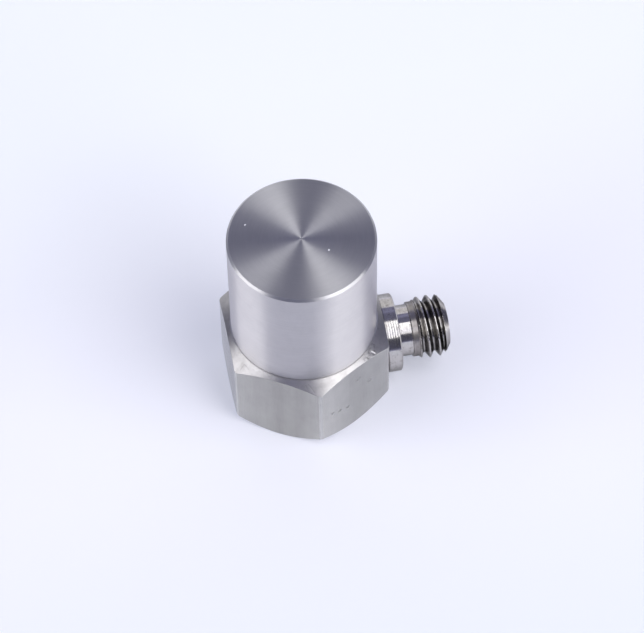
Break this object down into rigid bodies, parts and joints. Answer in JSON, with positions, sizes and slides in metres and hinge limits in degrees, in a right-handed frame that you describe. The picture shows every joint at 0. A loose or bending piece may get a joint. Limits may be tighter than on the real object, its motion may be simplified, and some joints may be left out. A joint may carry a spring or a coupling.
{
  "type": "vibration sensor",
  "caption": "Piezoelectric vibration sensor: hexagonal steel base with a stud hole underneath, turned round case on top and a threaded coaxial connector on one flat.",
  "frame": {"origin": "centre of the mounting face, on the axis of the threaded mounting hole", "axes": "+Z is the sensing axis, from the mounting face to the case's top; +X is the connector's axis, square to one flat of the hexagon"},
  "size_m": [0.0172, 0.0138, 0.0182],
  "materials": {
    "base_steel": "drawn stainless bar, turned at both ends, satin",
    "case_steel": "finely turned stainless steel, with a faced top",
    "connector_steel": "bright turned stainless steel",
    "spring_steel": "hardened steel, satin",
    "foil_bronze": "rolled bronze foil",
    "crystal_ceramic": "lapped piezoelectric ceramic",
    "tungsten_alloy": "turned tungsten alloy",
    "copper": "drawn copper wire",
    "solder": "bright solder",
    "seal_glass": "fused sealing glass",
    "fluoropolymer": "white fluoropolymer",
    "gold_plate": "gold-plated bronze"
  },
  "bodies": {
    "root": {"base": "base_steel", "case": "case_steel", "lower_ground_foil": "foil_bronze", "lower_crystal": "crystal_ceramic", "signal_electrode": "foil_bronze", "upper_crystal": "crystal_ceramic", "upper_ground_foil": "foil_bronze", "post_sleeve": "fluoropolymer", "seismic_mass": "tungsten_alloy", "pressure_washer": "spring_steel", "disc_spring": "spring_steel", "preload_nut": "spring_steel", "lead_wire": "copper", "lead_sleeve": "fluoropolymer", "electrode_solder": "solder", "contact_solder": "solder", "connector_shell": "connector_steel", "rear_seal": "seal_glass", "connector_insulator": "fluoropolymer", "connector_contact": "gold_plate"}
  },
  "joints": []
}
